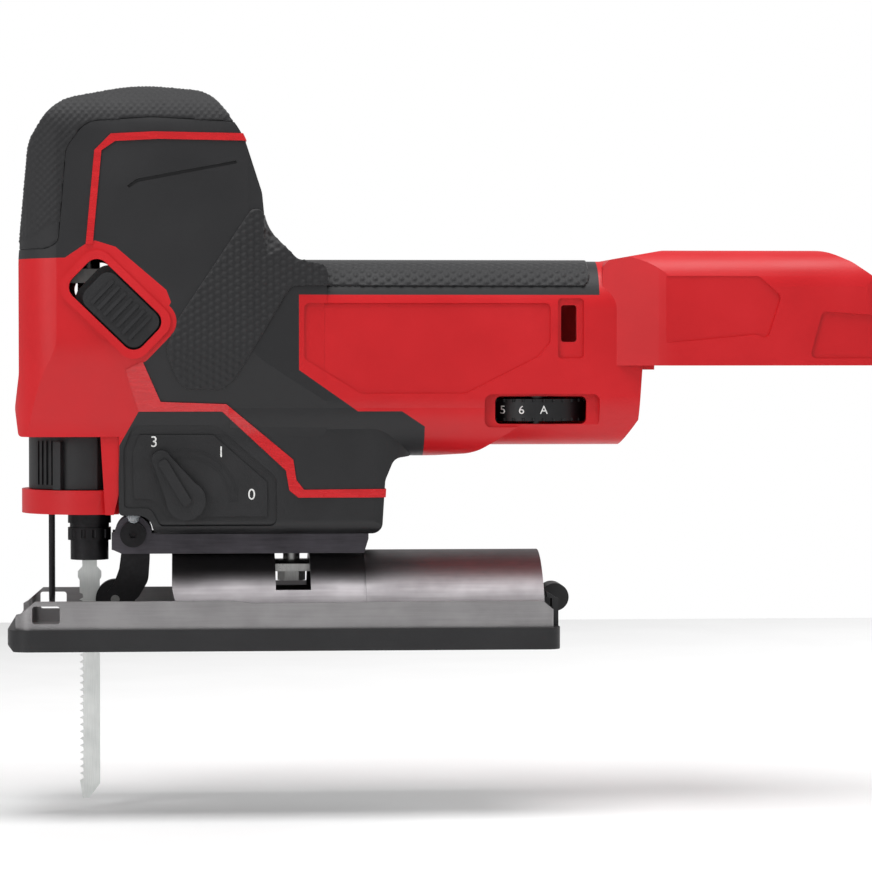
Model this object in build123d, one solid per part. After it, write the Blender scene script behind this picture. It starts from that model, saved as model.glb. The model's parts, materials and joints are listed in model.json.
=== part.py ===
from build123d import *
import os
from math import atan2, cos, pi, radians, sin, sqrt

# A cordless body-grip jigsaw. +X runs to the rear, +Z up, -Y is the tool's left side.
# The origin is in the blade slot, on the plane of the sole. All sizes are in millimetres.

# ---- housing: overall sizes ----
head_half = 33.0          # half width of the head
head_top = 198.0          # top of the head above the sole
head_front = -24.0        # front wall of the head
barrel_half = 29.5        # half width of the gripping barrel
barrel_top = 136.5
barrel_bottom = 71.2
barrel_round = 17.0       # corner radius of the barrel's section
barrel_rear = 196.0       # where the barrel meets the battery foot
foot_half = 37.0
foot_top = 140.2
foot_bottom = 99.5
foot_length = 87.0
neck_front = 62.0         # where the head begins to narrow into the barrel
blend_rear = 84.0         # where it has become the barrel
plan_room = 0.3           # how far the head's plan outline clears its flat sides
case_half = 27.5          # lower gear case
case_bottom = 40.0
case_rear = 103.5
notch_top = 46.8          # the case is cut away at the front for the bevel bracket's boss
notch_rear = 22.8
shell_wall = 3.6          # housing wall, overmould included
skin = 1.5                # depth of the rubber overmould
proud = 0.5               # how far strips and piping stand out
recess = 0.8              # depth of sunk panels, of the cover's border and of the crease
gap = 0.3                 # room between pieces that move past each other

# ---- nose ----
nose_bottom = 47.0
nose_top = 74.5
collar_radius = 24.0
collar_height = 8.5
nose_rear = 10.9
core_radius = 17.0
lever_radius = 21.5

# ---- drive train ----
stroke = 25.4
down_travel = 7.0         # how much further down the plunger can go from rest
motor_height = 101.0
gear_module = 1.0
gear_teeth = 48
pinion_teeth = 12
backlash = 0.22
gear_front = 24.0
gear_width = 8.0
shaft_radius = 3.0
rod_radius = 4.0
running = 0.03            # radial running clearance
stator_outer = 24.0
stator_inner = 14.0
stator_front = 84.0
stator_length = 26.0
fan_radius = 22.5

# ---- blade and clamp ----
blade_thick = 1.3
blade_half = 3.6
blade_lug = 0.6           # how far the shank's lugs stand out past the blade
blade_tip = -55.7
clamp_radius = 7.7
clamp_top = 46.5
clamp_bottom = 30.0
tooth_pitch = 2.5

# ---- shoe ----
shoe_half = 38.0
shoe_front = -25.0
shoe_rear = 163.5
rim_top = 17.4
rim_wall = 2.2
sole_thick = 2.0          # plastic under the plate
plate_thick = 3.0
overshoe_wall = 2.2
overshoe_top = 7.6
saddle_radius = 33.0
saddle_wall = 2.6
saddle_front = 29.5
slot_half = 13.5
tilt = 45.0

# ---- controls ----
button_long = 27.0
button_wide = 15.0
button_travel = 5.5
button_slope = 44.0       # the switch slides down to the rear at this angle
button_x = 12.0
button_z = 119.0
button_room = 0.7
dial_radius = 19.0
dial_x = 159.8
dial_bottom = 79.8
dial_top = 87.6
selector_x = 34.5
selector_z = 52.2
selector_reach = 20.0
selector_shaft = 4.0
selector_boss = 6.9
selector_tip = 3.3
selector_rest = 121.0     # angle of the lever above the rearward direction, at its largest orbit
lens_x = 16.0
lens_y = 19.0
lens_radius = 2.4

# ---- worked-out places ----
centres = gear_module * (gear_teeth + pinion_teeth) / 2
gear_height = motor_height + centres
crank = stroke / 2
pin_drop = crank - down_travel
pin_z = gear_height - pin_drop
pin_y = sqrt(crank ** 2 - pin_drop ** 2)
foot_rear = barrel_rear + foot_length


def flat(points, radii=None):
    """Closed face from corner points, with rounded corners where radii are given."""
    if radii is None:
        return make_face(Polyline(*points, close=True))
    return make_face(FilletPolyline(*points, radius=radii, close=True))


def side_prism(face, low_y, high_y):
    """Extrudes a face drawn in X and Z between two values of Y."""
    placed = Plane.XZ.offset(-high_y) * face
    return extrude(placed, amount=high_y - low_y)


def block(low, high):
    size = [high[i] - low[i] for i in range(3)]
    centre = [(high[i] + low[i]) / 2 for i in range(3)]
    return Pos(*centre) * Box(*size)


def rod_along(axis, radius, start, end, at):
    """Cylinder along X, Y or Z from start to end; at gives the other two coordinates."""
    length = end - start
    middle = (start + end) / 2
    if axis == "X":
        return Pos(middle, at[0], at[1]) * Rot(0, 90, 0) * Cylinder(radius, length)
    if axis == "Y":
        return Pos(at[0], middle, at[1]) * Rot(90, 0, 0) * Cylinder(radius, length)
    return Pos(at[0], at[1], middle) * Cylinder(radius, length)


def ring(axis, outer, inner, start, end, at):
    return rod_along(axis, outer, start, end, at) - rod_along(axis, inner, start - 1, end + 1, at)


def left_of(solid):
    return solid & block((-400, -200, -200), (600, 0, 400))


def right_of(solid):
    return solid & block((-400, 0, -200), (600, 200, 400))


# ---- housing ----
def head_side(inset):
    """Side outline of the head, which runs into the barrel behind it."""
    top = head_top
    front = head_front
    rear = blend_rear
    points = [
        (front - 0.2, nose_top), (front - 1.6, nose_top + 10), (front, nose_top + 22),
        (front, top - 61), (front + 4, top - 20), (front + 13, top - 6), (18, top),
        (43, top - 2.5), (54.5, top - 17), (61.3, top - 38), (62.5, barrel_top + 11),
        (73.5, barrel_top), (rear, barrel_top - 2), (rear, nose_top),
    ]
    radii = [1.5, 9, 14, 40, 16, 18, 60, 14, 30, 9, 16, 3, 3, 3]
    return offset(flat(points, radii), amount=-inset, kind=Kind.INTERSECTION)


def section_face(half, low, high, low_round, high_round, inset):
    """Section across the tool, in Y and Z, with its own corner radii below and above."""
    points = [(-half, low), (half, low), (half, high), (-half, high)]
    face = flat(points, [low_round, low_round, high_round, high_round])
    return offset(face, amount=-inset, kind=Kind.INTERSECTION)


def along_x(face, start, end):
    return extrude(Plane.YZ.offset(start) * face, amount=end - start)


def plan_prism(points, radii, low, high):
    return extrude(Plane.XY.offset(low) * flat(points, radii), amount=high - low)


def both_sides(points):
    """A plan outline from its left edge, front to rear."""
    return points + [(x, -y) for x, y in points[::-1]]


def head_section(top, top_round, inset):
    """Section of the head, drawn in to the gear case's width at the bottom."""
    half = [(-case_half, 30), (-case_half, nose_top + 2), (-head_half, nose_top + 30), (-head_half, top)]
    points = half + [(-y, z) for y, z in half[::-1]]
    radii = [2, 30, 50, top_round]
    return offset(flat(points, radii + radii[::-1]), amount=-inset, kind=Kind.INTERSECTION)


def head_solid(inset):
    side = side_prism(head_side(inset), -head_half - 5, head_half + 5)
    front = along_x(head_section(head_top, 17, inset), -60, neck_front)
    neck = along_x(head_section(barrel_top + 20, 25, inset), neck_front, 140)
    wide = head_half - inset + plan_room
    narrow = barrel_half - inset
    edge = [(head_front - 2 + inset, -wide), (neck_front - 8, -wide), (blend_rear, -narrow), (blend_rear + 9, -narrow)]
    rounds = [19 - inset, 40, 20, 1]
    plan = plan_prism(both_sides(edge), rounds + rounds[::-1], 20, 240)
    return side & (front + neck) & plan


def barrel_solid(inset):
    face = section_face(barrel_half, barrel_bottom, barrel_top, barrel_round, barrel_round, inset)
    tube = along_x(face, 40, barrel_rear + 4)
    slope = [(barrel_rear + 6, foot_bottom - inset), (barrel_rear - 0.3 - inset, foot_bottom - inset),
             (barrel_rear - 1.6 - inset, barrel_bottom + 9), (barrel_rear - 8 - inset, barrel_bottom - 1),
             (barrel_rear + 6, barrel_bottom - 1)]
    return tube - side_prism(flat(slope), -60, 60)


def foot_side(inset):
    points = [
        (barrel_rear - 16, foot_bottom), (foot_rear, foot_bottom), (foot_rear, foot_bottom + 27),
        (foot_rear - 13.5, foot_top - 4), (foot_rear - 22, foot_top), (barrel_rear + 7, foot_top),
        (barrel_rear - 14, barrel_top),
    ]
    return offset(flat(points, [2, 2, 6, 10, 16, 14, 4]), amount=-inset, kind=Kind.INTERSECTION)


def foot_solid(inset):
    side = side_prism(foot_side(inset), -60, 60)
    front = along_x(section_face(foot_half, 40, foot_top, 5, 13, inset), barrel_rear - 30, foot_rear + 5)
    wide = foot_half - inset
    waist = barrel_half - 3 - inset
    edge = [(barrel_rear - 17 + inset, -waist), (barrel_rear + 9, -wide), (foot_rear - inset, -wide)]
    rounds = [2, 24, 9 - inset]
    plan = plan_prism(both_sides(edge), rounds + rounds[::-1], 60, 200)
    return side & front & plan


def case_solid(inset):
    rear = case_rear + 11
    points = [(11, notch_top), (notch_rear, notch_top), (notch_rear, case_bottom), (case_rear, case_bottom),
              (case_rear + 1.2, 59),
              (case_rear + 4.5, barrel_bottom - 4.5), (rear, barrel_bottom - 3.8), (rear, 92), (11, 92)]
    face = offset(flat(points, [1.5, 5, 3, 4, 5, 4, 1.5, 3, 2]), amount=-inset, kind=Kind.INTERSECTION)
    edge = [(10 + inset, inset - case_half), (rear - inset, inset - case_half)]
    plan = plan_prism(both_sides(edge), [1, 14 - inset, 14 - inset, 1], 20, 110)
    front = along_x(section_face(case_half, case_bottom, 120, 5, 5, inset), 0, 200)
    return side_prism(face, -60, 60) & front & plan


def belly_solid(inset):
    """The slight swelling under the front half of the barrel."""
    low = barrel_bottom - 3.9
    points = [(50, low), (121, low), (137, low + 1.0), (157, barrel_bottom + 10), (157, 110), (50, 110)]
    face = offset(flat(points, [2, 60, 16, 2, 2, 2]), amount=-inset, kind=Kind.INTERSECTION)
    return side_prism(face, -60, 60) & along_x(section_face(barrel_half - 0.4, low, 116, 17, 15, inset), 40, 160)


def envelope(inset):
    front = head_solid(inset) + case_solid(inset)
    return front + belly_solid(inset) + barrel_solid(inset) + foot_solid(inset)


# Borders on the housing's side, in X and Z.
piping_outer = [(-0.2, 141.8), (2.9, 174.6), (8.6, 180.4), (23.5, 181.2), (60, 180.6)]
piping_width = 2.6
stripe_top = [(19.5, 101), (25.7, 86.8), (48.7, 86), (72.2, 66.4), (73.3, 59.2), (76, 55.8), (case_rear + 3, 56)]
stripe_low = [(case_rear + 3, 53), (74, 53), (70.8, 55.6), (69.6, 62.6), (47.2, 83.4), (18, 83.4), (13.5, 98)]
strip_corners = [(64, 164), (31, 114.5), (27.4, 104.5), (31.3, 94.5), (35, 91), (47.3, 91), (51.8, 94.8),
                 (63, 113.5), (71.5, 127.6), (177, 127.6), (177, 150), (62, 150)]
panel_corners = [(15.9, 78.6), (45.3, 78.6), (66.4, 60), (66.4, case_bottom + 3), (25.5, case_bottom + 3),
                 (22, notch_top + 2.6), (12.8, notch_top + 2.6), (12.6, 70)]
panel_rounds = [2, 5, 4, 2.5, 2, 3, 1.5, 5]
cover_edge = 3.4


def cap_region():
    top = head_top
    return flat([(-40, 139.8), (-14, 140.2), (-9.6, 142.4), (-6.8, 175.5), (0, 184.6), (23, 186.2), (52, 184.6),
                 (80, 184), (80, top + 10), (-40, top + 10)], [2, 6, 4, 9, 9, 30, 20, 2, 2, 2])


def piping_region():
    inner = [(x + piping_width * (0.95 if i < 2 else 0.6), z - (0 if i < 2 else piping_width))
             for i, (x, z) in enumerate(piping_outer)]
    return flat(piping_outer + inner[::-1])


def stripe_region():
    return flat(stripe_top + stripe_low)


def overmould_region():
    points = [(-40, 136.4), (-7.4, 137.2), (-0.6, 141.8), (3, 143.2), (10.2, 141), (27.8, 126), (29.4, 121.8),
              *stripe_top, (case_rear + 3, 60), (case_rear + 8, barrel_bottom - 10), (118.6, barrel_bottom - 10),
              (118.6, 78), (110.5, 83.4), (95, 83.4), (74.2, 98), (74.2, 124.4), (180.4, 124.4), (180.4, 150),
              (90, 150), (90, head_top + 20), (-40, head_top + 20)]
    return flat(points)


def lower_region():
    return flat([*stripe_low[:-1], (11.2, 71.5), (10.4, case_bottom - 5), (case_rear + 3, case_bottom - 5)])


def button_face(grow, stretch=0.0):
    """Outline of a switch button, grown by a margin and stretched up along its travel."""
    long = button_long + 2 * grow + stretch
    wide = button_wide + 2 * grow
    shift = stretch / 2
    slope = radians(button_slope)
    centre = (button_x - shift * cos(slope), button_z + shift * sin(slope))
    return Pos(*centre) * Rot(0, 0, -button_slope) * RectangleRounded(long, wide, 4 + grow * 0.6)


def crease_face():
    """Shallow line pressed into the rubber high on the head."""
    return flat([(14.3, 162.4), (14.9, 161.5), (18, 163.6), (52.4, 170.2), (52.4, 171.3), (17.6, 164.8)])


def cover_border():
    """Edge of the gear cover, left lower than its middle."""
    face = flat(panel_corners, panel_rounds)
    return face - offset(face, amount=-cover_edge, kind=Kind.INTERSECTION)


def side_regions():
    """Prisms of each overmoulded region, through the whole width."""
    wide = head_half + 10
    cap = side_prism(cap_region(), -wide, wide)
    piping = side_prism(piping_region(), -wide, wide)
    stripe = side_prism(stripe_region(), -wide, wide)
    strip = side_prism(flat(strip_corners, [3, 6, 6, 3, 3, 3, 3, 6, 4, 3, 3, 3]), -wide, wide)
    panel = side_prism(flat(panel_corners, panel_rounds), -wide, wide)
    lower = side_prism(lower_region(), -wide, wide) - panel
    ring_face = side_prism(button_face(5.2, button_travel), -wide, wide)
    rubber = side_prism(overmould_region(), -wide, wide) - cap - piping - strip - ring_face
    return {"cap": cap, "piping": piping, "stripe": stripe, "strip": strip - cap - piping - ring_face,
            "panel": panel, "lower": lower, "rubber": rubber}


def opening_left(face, depth=14.0, half=head_half):
    """Prism through the left wall only."""
    return side_prism(face, -half - 6, -half + depth)


def mirror_y(solid):
    return mirror(solid, about=Plane.XZ)


def window_face(low_x, low_z, high_x, high_z, round_by):
    face = RectangleRounded(high_x - low_x, high_z - low_z, round_by)
    return Pos((low_x + high_x) / 2, (low_z + high_z) / 2) * face


screw_places = [(-12, 112), (46, 174), (60, 121), (133, 84.5), (188, 126), (93, 48.5)]
screw_radius = 1.9
screw_head = 3.6
screw_seat = 21.5
boss_radius = 5.2


def screw_bosses(inner, half):
    """Screw pillars between the two shells, kept inside the housing's inner wall."""
    pillars = [rod_along("Y", boss_radius, -half, half, place) for place in screw_places]
    bosses = pillars[0]
    for pillar in pillars[1:]:
        bosses = bosses + pillar
    return bosses & inner


def case_holes():
    """Openings through the case and the layers on it: pendulum arm, lens, orbit shaft and clamp."""
    arm = block((10.4, -hanger_half, case_bottom - 3), (28, hanger_half, pivot_z + 8))
    lens = rod_along("Z", lens_radius, 40, 56, (lens_x, -lens_y))
    shaft = rod_along("Y", selector_shaft + 0.1, -40, -15, (selector_x, selector_z))
    clamp = rod_along("Z", clamp_radius + 1.6, nose_top - 6, nose_top + 6, (0, 0))
    return [arm, lens, shaft, clamp]


def motor_ribs(inner):
    """Ribs that hold the stator and the motor's rear bearing."""
    tall = block((rear_bearing_x, -40, 60), (rear_bearing_x + bearing_width, 40, 150))
    tall = tall - rod_along("X", bearing_outer, 60, 200, (0, motor_height))
    ribs = tall & inner
    for start in (stator_front + 3, stator_front + stator_length - 6):
        rib = block((start, -40, 60), (start + 2.4, 40, 150)) & inner
        ribs = ribs + (rib - rod_along("X", stator_outer, 60, 200, (0, motor_height)))
    return ribs


def housing_shells(outer, recessed, rubber_bed, inner, regions):
    """Left and right shells: the full wall, thinner where rubber lies on it, with every opening cut."""
    covered = regions["cap"] + regions["strip"] + regions["rubber"] + regions["piping"]
    covered = covered + regions["stripe"] + regions["panel"] + regions["lower"]
    shell = ((outer - covered) + rubber_bed) - inner
    switch_ring = opening_left(button_face(3.4, button_travel), 2.5) - outer
    shell = shell + (switch_ring & block((-30, -head_half - 1.0, 90), (60, -20, 150)))
    shell = shell + mirror_y(switch_ring & block((-30, -head_half - 1.0, 90), (60, -20, 150)))
    switch_hole = opening_left(button_face(button_room, button_travel))
    cuts = [switch_hole, mirror_y(switch_hole)]
    dial_hole = window_face(143.6, dial_bottom - 1.0, 176, dial_top + 1.0, 2)
    dial_dish = window_face(139.7, dial_bottom - 2.2, 180.5, dial_top + 1.8, 2.5)
    cuts.append(opening_left(dial_hole, 14, barrel_half))
    cuts.append(opening_left(dial_dish, 3.0, barrel_half))
    vent = window_face(166.8, 107.8, 172.3, 120.8, 1.0)
    vent_dish = window_face(165.6, 102.0, 174.8, 123.2, 1.4)
    for part in (opening_left(vent, 14, barrel_half), opening_left(vent_dish, 1.2, barrel_half)):
        cuts.append(part)
        cuts.append(mirror_y(part))
    panel = flat([(76, 121.5), (163, 121.5), (163, 107.8), (158.8, 102.6), (133, 89.6), (96, 89.6), (84, 97),
                  (76, 102)], [2, 2, 3, 4, 3, 4, 3, 2])
    badge = window_face(2.6, 85.4, 18.2, 91.8, 1.2)
    cuts.append(side_prism(panel, -60, 60) - recessed)
    badge_dish = opening_left(badge, 0.7, head_half)
    cuts += [badge_dish, mirror_y(badge_dish)]
    foot_panel = flat([(197, 106.8), (235.5, 110.4), (239, 108.4), (244, 124), (236, 131), (203, 131), (197, 124)],
                      [2, 2, 2, 3, 3, 3, 3])
    foot_tail = flat([(258.5, 118.6), (foot_rear + 4, 116.6), (foot_rear + 4, 102), (254, 102)], [2, 1, 1, 2])
    for face in (foot_panel, foot_tail):
        part = opening_left(face, 0.9, foot_half)
        cuts.append(part)
        cuts.append(mirror_y(part))
    cuts.append(block((200, -31, 90), (foot_rear + 5, 31, foot_bottom + 9)))
    cuts += case_holes()
    for cut in cuts:
        shell = shell - cut
    shell = shell + screw_bosses(inner, head_half) + motor_ribs(inner)
    for place in screw_places:
        shell = shell - rod_along("Y", screw_radius, -22, 50, place)
    heads = [rod_along("Y", screw_head + 0.4, screw_seat, 60, place) for place in screw_places]
    for head in heads:
        shell = shell - head
    return left_of(shell), right_of(shell)


# ---- nose ----
def nose_core():
    """The fixed barrel under the head that the clamp rises into, with the collar round its foot."""
    front = block((-40, -40, 0), (nose_rear, 40, 90))
    core = ring("Z", core_radius, clamp_radius + 1.0, nose_bottom, nose_top, (0, 0)) & front
    collar = ring("Z", collar_radius, core_radius, nose_bottom, nose_bottom + collar_height, (0, 0)) & front
    return core, collar


def nose_struts():
    """Pillars from the collar up to the head, one each side."""
    outline = flat([(4.6, nose_top), (nose_rear, nose_top), (nose_rear, 54), (9.2, nose_bottom), (6.2, nose_bottom)])
    strut = side_prism(outline, -collar_radius - 2.4, -core_radius - 0.2)
    strut = strut - Cylinder(core_radius, 200)
    return strut


def release_lever():
    """A curved shell on the nose that turns about the plunger, with a raised thumb ridge."""
    low = nose_bottom + collar_height + gap
    high = nose_top - gap
    shell = ring("Z", lever_radius, core_radius + gap, low, high, (0, 0))
    wedge = [(0, 0)] + [(60 * cos(radians(a)), 60 * sin(radians(a))) for a in (165, 190, 220, 250, 279)]
    sector = extrude(Plane.XY.offset(low) * flat(wedge), amount=high - low)
    ridge = Rot(0, 0, 243) * block((lever_radius - 2, -1.5, low), (lever_radius + 2.6, 1.5, high - 1.5))
    ribs = [Rot(0, 0, 215 + 6 * i) * block((lever_radius - 1, -0.6, low + 1.5), (lever_radius + 0.7, 0.6, high - 1.5))
            for i in range(4)]
    lever = (shell & sector) + ridge
    for rib in ribs:
        lever = lever + rib
    return lever


def guard_wire():
    """Wire loop that stands in front of the blade, its two ends in the collar."""
    half = 4.0
    low = 15.0
    turn = 3.0
    x = -13.4
    path = FilletPolyline((x, -half, nose_bottom + 3), (x, -half, low), (x, half, low),
                          (x, half, nose_bottom + 3), radius=turn)
    return sweep(Plane(origin=path @ 0, z_dir=path % 0) * Circle(1.0), path=path)


# ---- plunger, clamp and blade ----
rod_top = gear_height + 39.0
yoke_thick = 5.0
yoke_half = 23.0
yoke_side = 5.0
pin_radius = 3.0
slot_room = 0.5


def plunger_rod():
    return rod_along("Z", rod_radius, clamp_top - 6, rod_top, (0, 0))


def scotch_yoke():
    """Cross slot on the plunger, in front of the gear, that the crank pin drives."""
    slot = pin_radius + slot_room
    high = slot + yoke_side
    x = rod_radius + 0.4
    plate = block((x, -yoke_half, pin_z - high), (x + yoke_thick, yoke_half, pin_z + high))
    reach = crank + slot
    hole = block((x - 1, -reach, pin_z - slot), (x + yoke_thick + 1, reach, pin_z + slot))
    hub = block((-rod_radius - 2.5, -7, pin_z - high), (x, 7, pin_z - slot))
    hub_top = block((-rod_radius - 2.5, -7, pin_z + slot), (x, 7, pin_z + high))
    return (plate - hole) + hub + hub_top - rod_along("Z", rod_radius, 0, 300, (0, 0))


def blade_clamp():
    body = rod_along("Z", clamp_radius, clamp_bottom + 7, clamp_top, (0, 0))
    body = body + rod_along("Z", clamp_radius - 0.9, clamp_bottom, clamp_bottom + 7, (0, 0))
    body = body - ring("Z", clamp_radius + 1, clamp_radius - 0.7, clamp_top - 5.0, clamp_top - 3.4, (0, 0))
    for turn in range(12):
        flute = rod_along("Z", 0.9, clamp_bottom + 7.8, clamp_top - 5.6, (clamp_radius + 0.35, 0))
        body = body - Rot(0, 0, 15 + 30 * turn) * flute
    slot = block((-blade_half - 0.9, -blade_thick / 2 - 0.05, clamp_bottom - 1),
                 (blade_half + 0.9, blade_thick / 2 + 0.05, clamp_top - 6))
    return body - slot - rod_along("Z", rod_radius, clamp_top - 6, clamp_top + 1, (0, 0))


def blade():
    """T-shank blade: neck and lugs above, toothed edge to the front, back corner cut at the tip."""
    back = blade_half
    teeth_top = 18.0
    tip_cut = 5.1
    count = int((teeth_top - blade_tip - 4) / tooth_pitch)
    points = [(-2.6, clamp_top - 7), (2.6, clamp_top - 7), (2.6, 27.4), (back + blade_lug, 25.6), (back + blade_lug, 23.6),
              (back, 22.6), (back, blade_tip + tip_cut), (back - tip_cut + 1.2, blade_tip), (-back + 1, blade_tip)]
    low = teeth_top - count * tooth_pitch
    for i in range(count):
        z = low + i * tooth_pitch
        points += [(-back, z), (-back + 1.3, z + 0.7), (-back + 1.1, z + tooth_pitch - 0.5)]
    points += [(-back, teeth_top), (-back, 22.6), (-back - blade_lug, 23.6), (-back - blade_lug, 25.6), (-2.6, 27.4)]
    return side_prism(flat(points), -blade_thick / 2, blade_thick / 2)


def bushing(low, high):
    return ring("Z", rod_radius + 4, rod_radius + running, low, high, (0, 0))


# ---- gears and motor ----
def gear_face(teeth):
    """Spur gear outline with involute flanks, thinned by the backlash."""
    pitch = gear_module * teeth / 2
    base = pitch * cos(radians(20))
    root = pitch - 1.2 * gear_module
    tip = pitch + 0.9 * gear_module
    half_tooth = (pi / 2 * gear_module - backlash) / 2 / pitch

    def involute(radius):
        if radius <= base:
            return 0.0
        turn = sqrt((radius / base) ** 2 - 1)
        return turn - atan2(turn, 1)

    start = max(root, base)
    steps = [start + (tip - start) * i / 3 for i in range(4)]
    flank = [(r, half_tooth + involute(pitch) - involute(r)) for r in steps]
    if root < base:
        flank = [(root, flank[0][1])] + flank
    points = []
    for tooth in range(teeth):
        middle = 2 * pi * tooth / teeth
        rising = [(r, middle - a) for r, a in flank]
        falling = [(r, middle + a) for r, a in flank[::-1]]
        points += [(r * cos(a), r * sin(a)) for r, a in rising + falling]
    return flat(points)


def main_gear():
    # At rest a tooth gap of the gear faces straight down, at the pinion's tooth.
    turn = 90 + 180 / gear_teeth
    wheel = extrude(Plane.YZ.offset(gear_front) * (Rot(0, 0, turn) * gear_face(gear_teeth)), amount=gear_width)
    wheel = Pos(0, 0, gear_height) * wheel
    wheel = wheel - ring("X", 19, 8, gear_front - 1, gear_front + 2.0, (0, gear_height))
    wheel = wheel - ring("X", 19, 8, gear_front + gear_width - 2, gear_front + gear_width + 1, (0, gear_height))
    wheel = wheel + rod_along("X", pin_radius + 3, gear_front, gear_front + gear_width, (-pin_y, pin_z))
    wheel = wheel - rod_along("X", pin_radius, gear_front - 1, gear_front + 50, (-pin_y, pin_z))
    return wheel - rod_along("X", shaft_radius + running, 0, 60, (0, gear_height))


def crank_pin():
    # The pin stops short of the yoke's plane, where the linkage is opened.
    front = rod_radius + 0.4 + yoke_thick + 0.5
    pin = rod_along("X", pin_radius, front, gear_front + gear_width, (-pin_y, pin_z))
    return pin


def gear_shaft():
    return rod_along("X", shaft_radius, gear_front - 5, gear_front + gear_width + 12, (0, gear_height))


rear_bearing_x = stator_front + stator_length + 8
front_bearing_x = 42.0
bearing_outer = 9.5
bearing_width = 6.0


def rotor_shaft():
    """Motor shaft with its pinion at the front end."""
    shaft = rod_along("X", shaft_radius, gear_front - 1, rear_bearing_x + bearing_width + 2, (0, motor_height))
    pinion = extrude(Plane.YZ.offset(gear_front - 1) * (Rot(0, 0, 90) * gear_face(pinion_teeth)),
                     amount=gear_width + 2)
    return shaft + Pos(0, 0, motor_height) * pinion


def rotor_core():
    core = rod_along("X", stator_inner - 0.6, stator_front + 1, stator_front + stator_length - 1, (0, motor_height))
    return core - rod_along("X", shaft_radius, 0, 200, (0, motor_height))


def stator():
    """Laminated ring with inward teeth and a winding round each."""
    body = ring("X", stator_outer, stator_outer - 4, stator_front, stator_front + stator_length, (0, motor_height))
    teeth = 6
    for i in range(teeth):
        tooth = block((stator_front, -3.2, stator_inner), (stator_front + stator_length, 3.2, stator_outer - 3))
        body = body + Pos(0, 0, motor_height) * (Rot(360 / teeth * i, 0, 0) * tooth)
    return body


def windings():
    coils = []
    teeth = 6
    for i in range(teeth):
        coil = block((stator_front - 3, -5.4, stator_inner + 1.4),
                     (stator_front + stator_length + 3, 5.4, stator_outer - 5.2))
        hole = block((stator_front - 0.2, -3.2, 0), (stator_front + stator_length + 0.2, 3.2, 40))
        coils.append(Pos(0, 0, motor_height) * (Rot(360 / teeth * i, 0, 0) * (coil - hole)))
    return Compound(children=coils)


def fan():
    """Radial fan on the motor shaft."""
    start = 71.0
    thick = 1.6
    tall = 7.0
    disc = ring("X", fan_radius, shaft_radius, start, start + thick, (0, motor_height))
    hub = ring("X", 6, shaft_radius, start, start + tall, (0, motor_height))
    body = disc + hub
    blades = 11
    for i in range(blades):
        vane = block((start, -0.7, 8), (start + tall, 0.7, fan_radius - 1))
        body = body + Pos(0, 0, motor_height) * (Rot(360 / blades * i, 0, 0) * vane)
    return body


def bearing(start):
    """Ball bearing as one closed ring with a groove on each face."""
    body = ring("X", bearing_outer, shaft_radius + running, start, start + bearing_width, (0, motor_height))
    for face in (start - 1, start + bearing_width - 0.6):
        body = body - ring("X", bearing_outer - 1.6, shaft_radius + 1.8, face, face + 1.6, (0, motor_height))
    return body


bush_low = (79.5, 90.0)
bush_high = (rod_top - down_travel - 6.6, rod_top - down_travel - 1.4)


def gear_frame():
    """Metal frame that carries the gear shaft, the front bearing and both plunger bushings."""
    back = gear_front + gear_width + 2
    plate = block((back, -21, bush_low[0]), (back + 6, 21, bush_high[1]))
    for low, high in (bush_low, bush_high):
        plate = plate + block((-10, -9.5, low), (back + 1, 9.5, high))
        plate = plate - rod_along("Z", rod_radius + 4, low - 1, high + 1, (0, 0))
    holder = rod_along("X", bearing_outer + 3, back, front_bearing_x + bearing_width, (0, motor_height))
    frame = plate + holder + rod_along("X", 7, back, back + 12, (0, gear_height))
    frame = frame - rod_along("X", bearing_outer, front_bearing_x, 90, (0, motor_height))
    frame = frame - rod_along("X", 8.2, 20, 60, (0, motor_height))
    return frame - rod_along("X", shaft_radius, 0, 90, (0, gear_height))


# ---- pendulum ----
pivot_x = 17.5
pivot_z = 52.0
pivot_radius = 2.0
roller_x = 9.2
roller_z = 15.8
roller_flange = 7.0
roller_half = 2.8
groove_room = 0.5
arm_half = 5.2
hanger_half = 10.5


def pendulum_arm():
    points = [(13.5, 50), (13.5, 56.5), (21.5, 56.5), (21.5, 30), (21, 22.5), (17.5, 16.5), (11.5, 12),
              (6.8, 12.6), (6.2, 18.2), (8.9, 21.8), (10.6, 26.5), (11.6, 34)]
    face = flat(points, [3, 3.5, 3.5, 8, 6, 6, 3, 2.5, 2, 4, 6, 20])
    arm = side_prism(face, -arm_half, arm_half)
    arm = arm - rod_along("Y", roller_flange + 0.6, -roller_half - gap, roller_half + gap, (roller_x, roller_z))
    arm = arm - block((0, -roller_half - gap, 8), (roller_x, roller_half + gap, roller_z + 7))
    arm = arm - rod_along("Y", 1.6, -20, 20, (roller_x, roller_z))
    return arm - rod_along("Y", pivot_radius + running, -20, 20, (pivot_x, pivot_z))


def guide_roller():
    """Grooved wheel behind the blade's back edge."""
    wheel = rod_along("Y", roller_flange, -roller_half, roller_half, (roller_x, roller_z))
    groove = roller_x - blade_half - blade_lug - gap
    half = blade_thick / 2 + groove_room
    wheel = wheel - ring("Y", roller_flange + 1, groove, -half, half, (roller_x, roller_z))
    return wheel - rod_along("Y", 1.6 + running, -20, 20, (roller_x, roller_z))


def arm_hanger():
    """Saddle inside the case that holds the arm's pivot pin."""
    hanger = block((12.8, -hanger_half, notch_top + 3.8), (22.2, hanger_half, pivot_z + 8))
    hanger = hanger - block((5, -arm_half - gap, 40), (40, arm_half + gap, pivot_z + 5.2))
    return hanger - rod_along("Y", pivot_radius, -20, 20, (pivot_x, pivot_z))


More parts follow.
